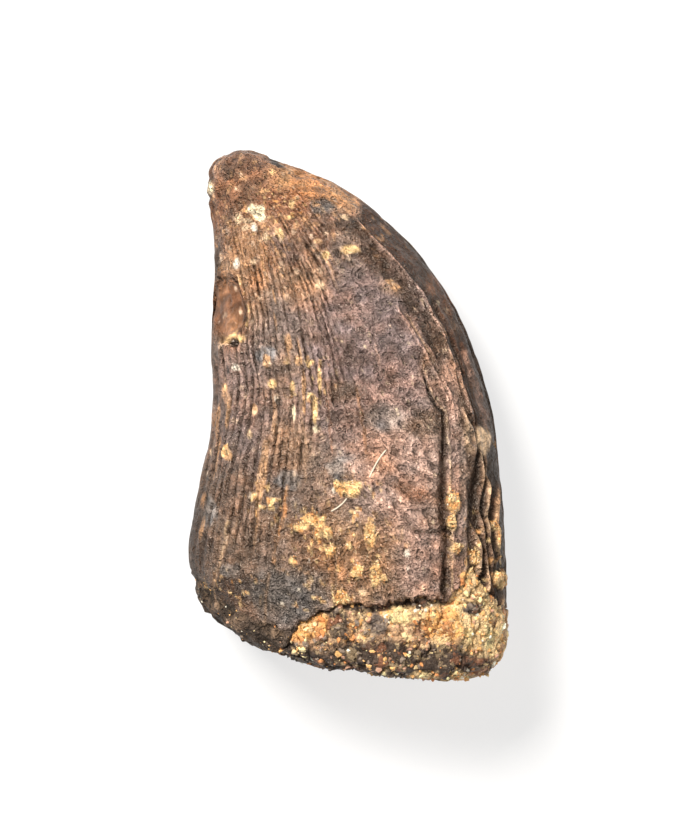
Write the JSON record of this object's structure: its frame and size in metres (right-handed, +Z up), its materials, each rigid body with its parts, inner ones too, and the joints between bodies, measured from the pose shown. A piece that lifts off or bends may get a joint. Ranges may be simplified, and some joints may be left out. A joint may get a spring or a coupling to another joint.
{
  "type": "fossil dinosaur tooth",
  "caption": "Stout recurved fossil crown of a large meat-eating dinosaur, broken at the base, with sandstone cemented to the break. Lies on its side.",
  "frame": {"origin": "middle of the footprint, on the surface that the tooth lies on", "axes": "+X towards the front (mesial) edge of the crown, +Y from the broken base to the tip, +Z up from the side that the tooth lies on"},
  "size_m": [0.0271, 0.0452, 0.0171],
  "materials": {
    "fossil_enamel": "mineralised brown enamel, satin",
    "sandstone": "rough sand grains"
  },
  "bodies": {
    "root": {"tooth": "fossil_enamel", "sandstone": "sandstone"}
  },
  "joints": []
}
